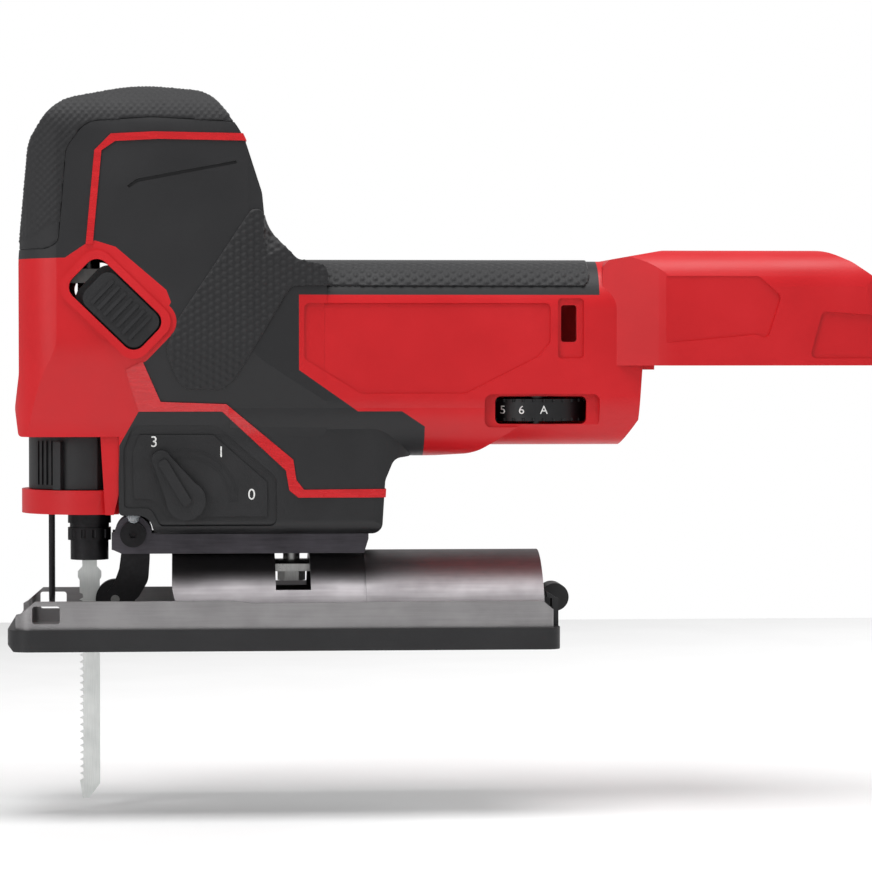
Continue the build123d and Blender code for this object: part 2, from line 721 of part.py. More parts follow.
# ---- controls ----
def orbit_selector():
    """Teardrop lever on the left gear cover, with its shaft through the wall."""
    low = -case_half - 3.8
    high = -case_half - 0.4
    boss = Circle(selector_boss)
    tip_x = selector_reach - selector_tip
    tip = Pos(tip_x, 0) * Circle(selector_tip)
    web = flat([(0, selector_boss - 0.2), (0, 0.2 - selector_boss), (tip_x, 0.1 - selector_tip), (tip_x, selector_tip - 0.1)])
    face = Pos(selector_x, selector_z) * (Rot(0, 0, selector_rest) * (boss + tip + web))
    lever = side_prism(face, low, high)
    crest = Pos(selector_x, selector_z) * (Rot(0, 0, selector_rest) * (Pos(7.5, 0) * RectangleRounded(18, 3.4, 1.2)))
    lever = lever + side_prism(crest, low - 1.6, low + 0.5)
    lever = lever + rod_along("Y", selector_shaft, high - 0.5, -16, (selector_x, selector_z))
    return lever + side_prism(Pos(selector_x + 1, selector_z) * RectangleRounded(12, 9, 3), -19, -16)


def switch_button():
    """Slide button in the left wall, with ribs for the thumb and a wide plate behind the wall."""
    face_y = -head_half - 0.4
    inside = -head_half + shell_wall
    body = side_prism(button_face(0), face_y, inside + 1.5)
    plate = side_prism(button_face(button_room + 1.5), inside + 0.8, inside + 2.4)
    slope = radians(button_slope)
    for i in range(-3, 4):
        shift = 3.0 * i
        middle = (button_x + shift * cos(slope), button_z - shift * sin(slope))
        rib = Pos(*middle) * Rot(0, 0, -button_slope) * RectangleRounded(1.3, button_wide - 4, 0.5)
        body = body + side_prism(rib, face_y - 0.7, face_y + 0.5)
    return body + plate


def speed_dial():
    """Knurled thumbwheel whose edge shows in the window."""
    y = dial_radius - barrel_half + 1.5
    wheel = rod_along("Z", dial_radius, dial_bottom, dial_top, (dial_x, y))
    notches = 33
    for i in range(notches):
        angle = 2 * pi * i / notches
        place = (dial_x + (dial_radius + 0.25) * cos(angle), y + (dial_radius + 0.25) * sin(angle))
        wheel = wheel - rod_along("Z", 0.7, dial_bottom - 1, dial_bottom + 1.1, place)
        wheel = wheel - rod_along("Z", 0.7, dial_top - 1.1, dial_top + 1, place)
    return wheel - rod_along("Z", 2 + running, 60, 110, (dial_x, y))


def dial_pin():
    y = dial_radius - barrel_half + 1.5
    pin = rod_along("Z", 2, barrel_bottom + shell_wall, dial_top + 4, (dial_x, y))
    return pin + rod_along("Z", 4, dial_top + gap, dial_top + 3, (dial_x, y))


# ---- electronics and battery foot ----
def control_board():
    """Motor controller: circuit board with a finned heat sink and capacitors."""
    low = 98.0
    rear = barrel_rear - 22
    board = block((132, -17, low), (rear, 17, low + 1.6))
    sink = block((134, -14, low + 1.6), (152, 14, low + 5))
    for i in range(7):
        sink = sink + block((134, -14 + 4.4 * i, low + 5), (152, -12.4 + 4.4 * i, low + 12))
    board = board + sink
    for y in (-9, 3):
        board = board + rod_along("Z", 5, low + 1.6, low + 16, (160, y + 2))
    return board


block_half = 14.0
block_front = 205.0
blade_places = (-9.6, -3.2, 3.2, 9.6)


def terminal_block():
    body = block((block_front, -block_half, foot_bottom + 1), (foot_rear - 22, block_half, foot_bottom + 9))
    for y in blade_places:
        body = body - block((block_front + 8, y - 1.6, foot_bottom), (foot_rear, y + 1.6, foot_bottom + 7))
    return body


def battery_contacts():
    blades = [block((block_front + 8, y - 0.4, foot_bottom + 1.4), (block_front + 34, y + 0.4, foot_bottom + 7))
              for y in blade_places]
    return Compound(children=blades)


def battery_rails():
    rail = block((203, 25.6, foot_bottom + 0.5), (foot_rear - 2, 31, foot_bottom + 3.4))
    rail = rail - block((foot_rear - 8, 24, foot_bottom), (foot_rear, 27.2, foot_bottom + 9))
    return Compound(children=[rail, mirror_y(rail)])


def led_lens():
    lens = rod_along("Z", lens_radius, notch_top - 1.0, notch_top + 4, (lens_x, -lens_y))
    return lens + Pos(lens_x, -lens_y, notch_top - 1.0) * Sphere(lens_radius - 0.3)


def housing_screws():
    screws = []
    for place in screw_places:
        screw = rod_along("Y", screw_radius, -20, screw_seat + 0.5, place)
        screw = screw + rod_along("Y", screw_head, screw_seat, screw_seat + 2, place)
        screws.append(screw - rod_along("Y", 1.4, screw_seat + 0.7, 30, place))
    return Compound(children=screws)


# ---- bevel bracket and clamp ----
bracket_half = clamp_radius + 2.7   # narrow enough to pass between the shoe's rims at full tilt
bracket_front = clamp_radius + 0.4
boss_stand = 0.4
head_stand = 2.2
bracket_wall = 2.2
bracket_top = case_bottom - gap
bracket_low = 32.4
bracket_rear = 99.6
boss_x = 15.7
boss_z = 39.4
bracket_boss = 6.6
clamp_x = 72.3
clamp_bolt_radius = 3.0


def bevel_bracket():
    """Steel cradle under the gear case: a top flange and two cheeks that sit over the saddle."""
    flange = block((notch_rear + gap, -bracket_half, bracket_top - bracket_wall), (bracket_rear, bracket_half, bracket_top))
    outline = [(bracket_front, bracket_low + 1.6), (bracket_front, 40), (boss_x + 5, 40), (notch_rear + 0.5, bracket_top),
               (bracket_rear - 4, bracket_top), (bracket_rear, bracket_top - 2.2), (bracket_rear - 1.6, bracket_low),
               (boss_x - 4, bracket_low)]
    cheek = side_prism(flat(outline), -bracket_half, -bracket_half + bracket_wall)
    cheek = cheek + rod_along("Y", bracket_boss, -bracket_half - boss_stand, -bracket_half + bracket_wall, (boss_x, boss_z))
    front = block((bracket_front, -bracket_half, 33.8), (bracket_front + 2.2, 1.5 - bracket_half, 38.2))
    cheek = cheek + front
    body = flange + cheek + mirror_y(cheek)
    body = body - rod_along("Y", 2.6, -30, 30, (boss_x, boss_z))
    return body - rod_along("Z", clamp_bolt_radius, 20, 60, (clamp_x, 0))


def bracket_screws():
    """Socket screws in the bracket's two front bosses."""
    seat = -bracket_half - boss_stand
    screw = rod_along("Y", 2.6, seat, -bracket_half + bracket_wall + 0.6, (boss_x, boss_z))
    screw = screw + rod_along("Y", 4.6, -bracket_half - head_stand, seat, (boss_x, boss_z))
    socket = Pos(boss_x, boss_z) * RegularPolygon(1.5, 6)
    screw = screw - side_prism(socket, -bracket_half - 5, -bracket_half - 0.6)
    return Compound(children=[screw, mirror_y(screw)])


def clamp_bolt():
    head = extrude(Plane.XY.offset(saddle_radius - saddle_wall - 8.2) * (Pos(clamp_x, 0) * RegularPolygon(5, 6)),
                   amount=4)
    return head + rod_along("Z", clamp_bolt_radius, saddle_radius - saddle_wall - 7, bracket_top, (clamp_x, 0))


def clamp_plate():
    """Curved plate inside the saddle that the bolt pulls up against it."""
    outer = saddle_radius - saddle_wall - 0.5
    plate = ring("X", outer, outer - 2.5, clamp_x - 10, clamp_x + 10, (0, 0))
    plate = plate & block((0, -9, 10), (200, 9, 60))
    return plate - rod_along("Z", clamp_bolt_radius, 10, 60, (clamp_x, 0))


# ---- shoe ----
slot_front = -20.0
slot_rear = 26.0


def saddle():
    """Half barrel on the shoe, with the cross slot that the clamp bolt slides along."""
    low = sole_thick + plate_thick
    rear = shoe_rear - 2.5
    shell = ring("X", saddle_radius, saddle_radius - saddle_wall, saddle_front, rear, (0, 0))
    shell = shell & block((0, -60, low), (400, 60, 60))
    edge = [(saddle_front, -saddle_radius), (shoe_rear, -saddle_radius)]
    plan = plan_prism(both_sides(edge), [9, 1, 1, 9], 0, 60)
    shell = shell & plan
    reach = radians(tilt + 7)
    fan_face = [(0, 0), (80 * sin(reach), 80 * cos(reach)), (0, 120), (-80 * sin(reach), 80 * cos(reach))]
    slot = extrude(Plane.YZ.offset(clamp_x - 6.2) * flat(fan_face), amount=12.4)
    shell = shell - slot
    for y in (-saddle_radius, saddle_radius - 3.4):
        shell = shell + block((saddle_front + 12, y, low), (rear, y + 3.4, low + 1.6))
    seam = ring("X", saddle_radius + 1, saddle_radius - 0.5, 97.2, 98.0, (0, 0))
    return shell - (seam & block((0, -60, low + 3), (400, 60, 60)))


def slot_prism(grow, low, high):
    half = slot_half + grow
    return plan_prism(both_sides([(slot_front - grow, -half), (slot_rear + grow, -half)]), 5, low, high)


def base_plate():
    """Pressed steel plate with its long edges turned up."""
    low = sole_thick
    high = low + plate_thick
    edge = [(shoe_front, -shoe_half), (shoe_rear, -shoe_half)]
    within = [(shoe_front + rim_wall, rim_wall - shoe_half), (shoe_rear - rim_wall, rim_wall - shoe_half)]
    plate = plan_prism(both_sides(edge), [6, 3, 3, 6], low, high)
    rim = plan_prism(both_sides(edge), [6, 3, 3, 6], low, rim_top)
    rim = rim - plan_prism(both_sides(within), [4, 1, 1, 4], low - 1, rim_top + 1)
    profile = flat([(shoe_front - 2, low), (shoe_front - 2, 11), (shoe_front + 1.5, 12.7), (shoe_front + 7, rim_top),
                    (50, rim_top), (58, rim_top - 0.8), (shoe_rear - 4, rim_top - 0.4), (shoe_rear + 2, 12),
                    (shoe_rear + 2, low)])
    rim = rim & side_prism(profile, -60, 60)
    rim = rim - block((shoe_front - 2, -shoe_half + 7, high + 4.5), (shoe_front + 5, shoe_half - 7, 60))
    rim = rim - block((shoe_rear - 5, -shoe_half + 5, high), (shoe_rear + 5, shoe_half - 5, 60))
    window = window_face(shoe_front + 6, 9.6, shoe_front + 15.6, rim_top - 1.6, 1)
    plate = plate + rim - side_prism(window, -60, 60)
    return plate - slot_prism(0, low - 1, high + 1)


def overshoe():
    """Plastic sole clipped round the plate, open over its middle at the slot."""
    half = shoe_half + 0.1
    front = shoe_front - 0.1
    rear = shoe_rear + 0.1
    outer = [(front - 2.6, -half - overshoe_wall), (rear + overshoe_wall, -half - overshoe_wall)]
    cup = plan_prism(both_sides(outer), [8, 5, 5, 8], 0, overshoe_top)
    cup = cup - plan_prism(both_sides([(front, -half), (rear, -half)]), [6, 3, 3, 6], sole_thick, overshoe_top + 1)
    nose = side_prism(flat([(front - 4, 0), (front - 0.4, 0), (front - 2.6, 2.4), (front - 4, 2.4)]), -60, 60)
    cup = cup - nose
    hook = side_prism(flat([(rear, 4), (rear + 2.2, 4), (rear + 2.2, 17), (rear - 1.8, 19.5), (rear - 1.8, 17.6),
                            (rear, 17.2)]), 23, 30)
    cup = cup + hook + mirror_y(hook)
    return cup - slot_prism(1.0, -1, sole_thick + 1)


lever_pivot_x = 150.0
lever_low = 8.0
lever_high = 15.0


def bevel_lever():
    """Lever that locks the bevel, pivoted inside the saddle, with its rounded end behind it."""
    arm = block((lever_pivot_x, -4, lever_low), (shoe_rear + 2, 4, lever_high))
    arm = arm + rod_along("Z", 6, lever_low, lever_high, (lever_pivot_x, 0))
    arm = arm + rod_along("Y", 5, -7, 7, (shoe_rear + 3.4, lever_high + 1))
    return arm - rod_along("Z", pivot_radius + running, 0, 40, (lever_pivot_x, 0))


def bevel_lever_pin():
    pin = rod_along("Z", pivot_radius, sole_thick + plate_thick, lever_high + 3, (lever_pivot_x, 0))
    return pin + rod_along("Z", 4.5, lever_high + gap, lever_high + 2, (lever_pivot_x, 0))


# ---- whole tool ----
def build():
    outer = envelope(0)
    rubber_bed = envelope(skin)
    inner = envelope(shell_wall)
    raised = envelope(-proud)
    recessed = envelope(recess)
    regions = side_regions()
    skin_layer = outer - rubber_bed
    raised_layer = raised - rubber_bed
    parts = {}
    parts["housing_left"], parts["housing_right"] = housing_shells(outer, recessed, rubber_bed, inner, regions)
    parts["head_cap"] = skin_layer & regions["cap"]
    screw_heads = [rod_along("Y", screw_head + 0.4, 20, 60, place) for place in screw_places]
    rubber = (skin_layer & regions["rubber"]) - (side_prism(crease_face(), -60, 60) - recessed)
    cover = (skin_layer & regions["panel"]) - (side_prism(cover_border(), -60, 60) - recessed)
    layers = {"overmould": rubber, "grip_strip": raised_layer & regions["strip"],
              "piping": raised_layer & regions["piping"], "stripe": raised_layer & regions["stripe"],
              "gear_cover": cover, "lower_case": skin_layer & regions["lower"]}
    for name, layer in layers.items():
        for cut in (*case_holes(), *screw_heads):
            layer = layer - cut
        parts[name + "_left"] = left_of(layer)
        parts[name + "_right"] = right_of(layer)
    core, collar = nose_core()
    strut = nose_struts()
    parts["nose_core"] = core - guard_wire()
    parts["nose_collar"] = collar + strut + mirror_y(strut)
    parts["release_lever"] = release_lever()
    parts["guard_wire"] = guard_wire()
    parts["plunger_rod"] = plunger_rod()
    parts["scotch_yoke"] = scotch_yoke()
    parts["blade_clamp"] = blade_clamp()
    parts["blade"] = blade()
    parts["plunger_bushings"] = Compound(children=[bushing(*bush_low), bushing(*bush_high)])
    parts["gear_frame"] = gear_frame()
    parts["gear_shaft"] = gear_shaft()
    parts["main_gear"] = main_gear()
    parts["crank_pin"] = crank_pin()
    parts["rotor_shaft"] = rotor_shaft()
    parts["rotor_core"] = rotor_core()
    parts["stator"] = stator()
    parts["windings"] = windings()
    parts["fan"] = fan()
    parts["motor_bearings"] = Compound(children=[bearing(front_bearing_x), bearing(rear_bearing_x)])
    parts["pendulum_arm"] = pendulum_arm()
    parts["guide_roller"] = guide_roller()
    parts["roller_pin"] = rod_along("Y", 1.6, -arm_half, arm_half, (roller_x, roller_z))
    parts["arm_hanger"] = arm_hanger()
    parts["arm_pivot_pin"] = rod_along("Y", pivot_radius, -hanger_half, hanger_half, (pivot_x, pivot_z))
    parts["orbit_selector"] = orbit_selector()
    parts["switch_left"] = switch_button()
    parts["switch_right"] = mirror_y(switch_button())
    parts["speed_dial"] = speed_dial()
    parts["dial_pin"] = dial_pin()
    parts["control_board"] = control_board()
    parts["terminal_block"] = terminal_block()
    parts["battery_contacts"] = battery_contacts()
    parts["battery_rails"] = battery_rails()
    parts["led_lens"] = led_lens()
    parts["housing_screws"] = housing_screws()
    parts["bevel_bracket"] = bevel_bracket()
    parts["bracket_screws"] = bracket_screws()
    parts["clamp_bolt"] = clamp_bolt()
    parts["clamp_plate"] = clamp_plate()
    parts["saddle"] = saddle()
    parts["base_plate"] = base_plate()
    parts["overshoe"] = overshoe()
    parts["bevel_lever"] = bevel_lever()
    parts["bevel_lever_pin"] = bevel_lever_pin()
    return parts


os.makedirs("parts", exist_ok=True)
for node, shape in build().items():
    export_step(shape, f"parts/{node}.step")
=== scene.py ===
import bpy
import json
import math
import numpy as np
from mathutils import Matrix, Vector


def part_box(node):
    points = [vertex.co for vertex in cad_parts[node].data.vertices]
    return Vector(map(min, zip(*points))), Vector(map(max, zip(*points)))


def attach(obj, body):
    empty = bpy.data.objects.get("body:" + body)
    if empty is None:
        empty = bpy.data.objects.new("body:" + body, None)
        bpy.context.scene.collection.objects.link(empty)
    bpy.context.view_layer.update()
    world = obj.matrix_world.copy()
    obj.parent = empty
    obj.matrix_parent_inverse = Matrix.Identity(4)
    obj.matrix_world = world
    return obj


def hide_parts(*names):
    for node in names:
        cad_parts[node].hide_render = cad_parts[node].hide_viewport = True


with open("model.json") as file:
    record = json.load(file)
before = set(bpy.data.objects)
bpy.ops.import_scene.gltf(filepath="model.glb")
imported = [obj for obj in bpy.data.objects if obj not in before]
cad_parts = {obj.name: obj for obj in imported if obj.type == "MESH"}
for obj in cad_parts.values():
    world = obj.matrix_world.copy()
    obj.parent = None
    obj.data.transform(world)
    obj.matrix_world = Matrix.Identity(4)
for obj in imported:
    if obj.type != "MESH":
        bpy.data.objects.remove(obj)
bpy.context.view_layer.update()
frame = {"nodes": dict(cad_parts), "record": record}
mm = 0.001


def hexColour(code):
    values = [int(code[i:i + 2], 16) / 255 for i in (1, 3, 5)]
    return (*[v / 12.92 if v <= 0.04045 else ((v + 0.055) / 1.055) ** 2.4 for v in values], 1.0)


def grey(value):
    return (value, value, value, 1.0)


def setStops(points, stops):
    # first and last stops use the two points a new ramp has
    points[0].position, points[0].color = stops[0]
    points[1].position, points[1].color = stops[-1]
    for where, tone in stops[1:-1]:
        points.new(where).color = tone


def addNode(tree, kind, settings=None, links=None):
    # settings go to a ramp's stops, to sockets by name or number, or to the node itself
    node = tree.nodes.new("ShaderNode" + kind)
    for key, value in (settings or {}).items():
        if key == "stops":
            setStops(node.color_ramp.elements, value)
        elif isinstance(key, int) or key in node.inputs:
            node.inputs[key].default_value = value
        else:
            setattr(node, key, value)
    for key, socket in (links or {}).items():
        tree.links.new(socket, node.inputs[key])
    return node


def startMaterial(name, roughness=0.5, metallic=0.0, **sockets):
    material = bpy.data.materials.new(name)
    material.use_nodes = True
    tree = material.node_tree
    shader = tree.nodes["Principled BSDF"]
    shader.inputs["Roughness"].default_value = roughness
    shader.inputs["Metallic"].default_value = metallic
    for socket, value in sockets.items():
        shader.inputs[socket.replace("_", " ")].default_value = value
    place = addNode(tree, "TexCoord").outputs["Object"]
    return material, tree, shader, place


def cellsOf(tree, place, sizes):
    # turns metres into pattern cells of the given sizes in mm along X, Y and Z
    scale = [1 / (size * mm) for size in sizes]
    return {"Vector": addNode(tree, "Mapping", {"Scale": scale}, {"Vector": place}).outputs["Vector"]}


def feed(tree, shader, socket, factor, stops):
    # a pattern, through a ramp, into one of the shader's sockets
    ramp = addNode(tree, "ValToRGB", {"stops": stops}, {"Fac": factor})
    tree.links.new(ramp.outputs["Color"], shader.inputs[socket])


def raiseGrain(tree, shader, height, depth, strength):
    # depth in mm
    bump = addNode(tree, "Bump", {"Strength": strength, "Distance": depth * mm}, {"Height": height})
    tree.links.new(bump.outputs["Normal"], shader.inputs["Normal"])


def blended(tree, fine, share, broad):
    settings = {"operation": "MULTIPLY_ADD", 1: share}
    return addNode(tree, "Math", settings, {0: fine, 2: broad}).outputs[0]


softNoise = {"Scale": 1.0, "Detail": 3.0, "Roughness": 0.55}  # slow changes of tone over a surface
nylonRed = {"base": "#C60B16", "shade": "#BE0A14", "light": "#CC101B", "grain": 0.55, "cloud": 40.0}
blackNylon = {"base": "#1B1B1D", "shade": "#171719", "light": "#202022", "grain": 0.6, "cloud": 18.0}
dialNylon = {"base": "#141416", "shade": "#0F0F11", "light": "#1B1B1E", "grain": 0.4, "cloud": 9.0}


def glassFilledNylon(name, look, roughness):
    # Glass-filled nylon, injection moulded in a spark-eroded tool: an even satin with a very fine grain.
    # The real grain is about 0.2 mm; it is drawn coarser so that it shows.
    material, tree, shader, place = startMaterial(name, roughness, Specular_IOR_Level=0.45)
    grainNoise = {"Scale": 1.0, "Detail": 2.0, "Roughness": 0.6}
    broad = addNode(tree, "TexNoise", softNoise, cellsOf(tree, place, [look["cloud"]] * 3)).outputs["Fac"]
    fine = addNode(tree, "TexNoise", grainNoise, cellsOf(tree, place, [look["grain"]] * 3)).outputs["Fac"]
    shade, base, light = (hexColour(look[tone]) for tone in ("shade", "base", "light"))
    feed(tree, shader, "Base Color", broad, [(0.3, shade), (0.52, base), (0.75, light)])
    both = blended(tree, fine, 0.35, broad)
    feed(tree, shader, "Roughness", both, [(0.45, grey(roughness - 0.07)), (0.95, grey(roughness + 0.09))])
    raiseGrain(tree, shader, fine, 0.05, 0.55)
    return material


glossTrim = {"base": "#CC0D18", "shade": "#BC0B15"}


def glossAbs():
    # ABS trim, moulded in a polished tool: clear gloss with faint flow lines along the strip.
    material, tree, shader, place = startMaterial("glossAbsTrim", 0.24, Coat_Weight=0.25, Coat_Roughness=0.12)
    flow = addNode(tree, "TexNoise", softNoise, cellsOf(tree, place, (9.0, 9.0, 1.6))).outputs["Fac"]
    shade, base = hexColour(glossTrim["shade"]), hexColour(glossTrim["base"])
    feed(tree, shader, "Base Color", flow, [(0.3, shade), (0.7, base)])
    feed(tree, shader, "Roughness", flow, [(0.3, grey(0.2)), (0.7, grey(0.32))])
    return material


softRubber = {"base": "#1C1C1E", "dark": "#18181A", "dust": "#232325"}


def moulded(name, roughness, relief):
    # Thermoplastic elastomer moulded over the shell: dull black with a soft sheen at grazing light
    # and dust in its low places. relief is the depth in mm of its fine texture.
    material, tree, shader, place = startMaterial(name, roughness, Specular_IOR_Level=0.4, Sheen_Weight=0.12,
                                                 Sheen_Roughness=0.5)
    cloudNoise = {"Scale": 1.0, "Detail": 2.0, "Roughness": 0.55}
    grainNoise = {"Scale": 1.0, "Detail": 3.0, "Roughness": 0.6}
    cloud = addNode(tree, "TexNoise", cloudNoise, cellsOf(tree, place, [35.0] * 3)).outputs["Fac"]
    grain = addNode(tree, "TexNoise", grainNoise, cellsOf(tree, place, [0.7] * 3)).outputs["Fac"]
    mixed = blended(tree, grain, 0.3, cloud)
    dark, base, dust = (hexColour(softRubber[tone]) for tone in ("dark", "base", "dust"))
    feed(tree, shader, "Base Color", mixed, [(0.36, dark), (0.66, base), (1.0, dust)])
    feed(tree, shader, "Roughness", mixed, [(0.45, grey(roughness - 0.06)), (0.9, grey(roughness + 0.1))])
    raiseGrain(tree, shader, grain, relief, 0.6)
    return material


def drawnSteel(name, tone, shade, roughness, grainSizes, relief=0.02, metallic=1.0):
    # Metal with a grain left by its last operation: rolling, grinding or brushing. The grain runs along
    # the largest of grainSizes (mm); real scratches are 0.05 mm wide and drawn several times that.
    material, tree, shader, place = startMaterial(name, roughness, metallic)
    streakNoise = {"Scale": 1.0, "Detail": 4.0, "Roughness": 0.6}
    streak = addNode(tree, "TexNoise", streakNoise, cellsOf(tree, place, grainSizes)).outputs["Fac"]
    cloud = addNode(tree, "TexNoise", softNoise, cellsOf(tree, place, [14.0] * 3)).outputs["Fac"]
    mixed = blended(tree, streak, 0.6, cloud)
    feed(tree, shader, "Base Color", mixed, [(0.35, hexColour(shade)), (1.0, hexColour(tone))])
    feed(tree, shader, "Roughness", mixed, [(0.4, grey(roughness + 0.05)), (1.0, grey(roughness - 0.04))])
    raiseGrain(tree, shader, streak, relief, 0.5)
    return material


def castAlloy():
    # Die-cast zinc-aluminium: pale, matt, faintly pitted.
    material, tree, shader, place = startMaterial("dieCastAlloy", 0.5, 1.0)
    pits = addNode(tree, "TexVoronoi", {"Scale": 1.0}, cellsOf(tree, place, [1.4] * 3)).outputs["Distance"]
    feed(tree, shader, "Base Color", pits, [(0.05, hexColour("#7F8082")), (0.6, hexColour("#A9AAAC"))])
    raiseGrain(tree, shader, pits, 0.06, 0.5)
    return material


maskGreen = {"Color1": hexColour("#0E5A2C"), "Color2": hexColour("#0C4F27"), "Mortar": hexColour("#2B8A4B")}


def solderMask():
    # Fibreglass board under green solder mask: glossy, with paler copper tracks below.
    material, tree, shader, place = startMaterial("solderMask", 0.3, Coat_Weight=0.4, Coat_Roughness=0.15)
    settings = {"Scale": 1.0, "Mortar Size": 0.08, **maskGreen}
    tracks = addNode(tree, "TexBrick", settings, cellsOf(tree, place, [4.0] * 3)).outputs["Color"]
    tree.links.new(tracks, shader.inputs["Base Color"])
    return material


def clearLens():
    # Polycarbonate lens, moulded with a frosted face that spreads the light.
    material, tree, shader, place = startMaterial("clearLens", 0.12, Transmission_Weight=0.6, IOR=1.58)
    settings = {"Scale": 1.0, "wave_type": "RINGS"}
    rings = addNode(tree, "TexWave", settings, cellsOf(tree, place, [3.0] * 3)).outputs["Fac"]
    feed(tree, shader, "Base Color", rings, [(0.2, hexColour("#D9E2EA")), (0.8, hexColour("#F4F8FB"))])
    raiseGrain(tree, shader, rings, 0.04, 0.4)
    return material


finishes = {
    "red_shell": glassFilledNylon("redNylonShell", nylonRed, 0.4),
    "black_plastic": glassFilledNylon("blackNylonMoulding", blackNylon, 0.46),
    "dial_black": glassFilledNylon("dialNylon", dialNylon, 0.4),
    "red_trim": glossAbs(),
    "black_rubber": moulded("smoothOvermould", 0.5, 0.03),
    "gear_steel": drawnSteel("groundGearSteel", "#B9B9B7", "#8C8C8B", 0.3, (0.5, 4.0, 4.0)),
    "blade_steel": drawnSteel("groundBladeSteel", "#E6E8E6", "#C4C8C6", 0.34, (0.35, 6.0, 7.0), 0.01, 0.75),
    "bearing_steel": drawnSteel("bearingSteel", "#C9C9C9", "#A6A6A6", 0.18, (0.6, 5.0, 5.0)),
    "bronze": drawnSteel("sinteredBronze", "#B08A52", "#8A6A3C", 0.45, (0.8, 0.8, 0.8), 0.04),
    "copper": drawnSteel("enamelledCopper", "#C8733F", "#9A4F26", 0.3, (0.7, 8.0, 8.0), 0.06),
    "lamination": drawnSteel("stackedLaminations", "#6A6A6C", "#3C3C3E", 0.45, (0.6, 30.0, 30.0), 0.08),
    "cast_alloy": castAlloy(),
    "bracket_steel": drawnSteel("phosphatedSteel", "#57545A", "#3B393D", 0.42, (12.0, 1.2, 0.8), 0.03, 0.85),
    "plate_steel": drawnSteel("pressedPlateSteel", "#A3A1A2", "#8B898A", 0.4, (26.0, 1.2, 1.0), 0.01),
    "screw_steel": drawnSteel("blackOxideSteel", "#2E2D2F", "#1B1B1C", 0.4, (1.2, 1.2, 1.2), 0.03, 0.8),
    "board_green": solderMask(),
    "lens_clear": clearLens(),
    "contact_brass": drawnSteel("platedBrass", "#D8B765", "#A98A45", 0.28, (5.0, 0.6, 1.0)),
}
capRubber = moulded("texturedCapRubber", 0.6, 0.05)
gripRubber = moulded("pebbledGripRubber", 0.58, 0.04)
# The saddle is a separate rolled steel plate. Its tone, darker than the plate steel, is painted shade from the
# bracket above it.
saddleSteelPaintedShade = drawnSteel("rolledSaddleSteelPaintedShade", "#7C797B", "#656264", 0.42, (30.0, 1.4, 1.1), 0.01)
print("finishes made")

slotOf = {part["node"]: part["material_slot"] for part in frame["record"]["subparts"]}
# The saddle takes the darker steel, whose tone is painted shade from the bracket above it.
special = {"head_cap": capRubber, "grip_strip_left": gripRubber, "grip_strip_right": gripRubber,
           "saddle": saddleSteelPaintedShade}
for node, piece in frame["nodes"].items():
    piece.data.materials.clear()
    piece.data.materials.append(special.get(node, finishes[slotOf[node]]))
print("finishes on the CAD pieces")


# The cap carries a fine lattice of raised diamonds and the grips carry small round pebbles. Both are
# cut into the moulding tool, so they are drawn as shape and not only as shading.
capRelief = {"pitch": 2.6, "height": 0.5, "mesh": 0.6, "body": "housing", "slot": "black_rubber"}
gripRelief = {"pitch": 2.3, "height": 0.42, "mesh": 0.45, "body": "housing", "slot": "black_rubber"}
capBorder = {"front": (-22.2, 139.8), "rear": (52.0, 184.5), "band": 3.0}  # smooth band below the lattice, mm


def easeBetween(values, low, high):
    part = np.clip((values - low) / (high - low), 0, 1)
    return part * part * (3 - 2 * part)


def diamonds(across, along, pitch):
    turned = math.pi / (pitch * mm)
    return np.abs(np.cos((across + along) * turned) * np.cos((across - along) * turned)) ** 0.7


def pebbles(across, along, pitch):
    # three waves at sixty degrees leave round bumps in rows
    step = 2 * math.pi / (pitch * mm)
    turns = (0, math.pi / 3, 2 * math.pi / 3)
    rise = sum(np.cos(step * (across * math.cos(a) + along * math.sin(a))) for a in turns)
    return easeBetween(rise, -0.9, 2.2)


def onThreeSides(pattern, places, normals, pitch):
    weights = np.abs(normals) ** 4
    weights /= weights.sum(1, keepdims=True) + 1e-9
    x, y, z = places.T
    return (weights[:, 0] * pattern(y, z, pitch) + weights[:, 1] * pattern(x, z, pitch)
            + weights[:, 2] * pattern(x, y, pitch))


def evenCopy(node, meshSize):
    source = frame["nodes"][node]
    piece = bpy.data.objects.new(node + "_relief", source.data.copy())
    bpy.context.scene.collection.objects.link(piece)
    remesh = piece.modifiers.new("even", "REMESH")
    remesh.mode = "VOXEL"
    remesh.voxel_size = meshSize * mm
    made = bpy.data.meshes.new_from_object(piece.evaluated_get(bpy.context.evaluated_depsgraph_get()))
    piece.modifiers.clear()
    piece.data = made
    return piece


def coverWithRelief(node, look, pattern, finish, kept=None):
    piece = evenCopy(node, look["mesh"])
    vertices = piece.data.vertices
    places = np.empty(len(vertices) * 3)
    normals = np.empty(len(vertices) * 3)
    vertices.foreach_get("co", places)
    vertices.foreach_get("normal", normals)
    places, normals = places.reshape(-1, 3), normals.reshape(-1, 3)
    low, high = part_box("head_cap" if node == "head_cap" else "housing_left")
    middle = np.array([(low.x + high.x) / 2, 0.0, (low.z + high.z) / 2])
    out = places - middle
    if node != "head_cap":
        out = out * np.array([0.0, 1.0, 0.0])
    out /= np.linalg.norm(out, axis=1, keepdims=True) + 1e-9
    weight = easeBetween((out * normals).sum(1), 0.25, 0.6)
    if kept is not None:
        weight = weight * kept(places)
    lift = onThreeSides(pattern, places, normals, look["pitch"]) * weight * look["height"] * mm
    vertices.foreach_set("co", (places + normals * lift[:, None]).ravel())
    piece.data.update()
    piece.data.shade_smooth()
    piece.data.materials.clear()
    piece.data.materials.append(finish)
    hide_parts(node)
    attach(piece, look["body"])
    print(piece.name, len(piece.data.polygons), "faces")
    return piece


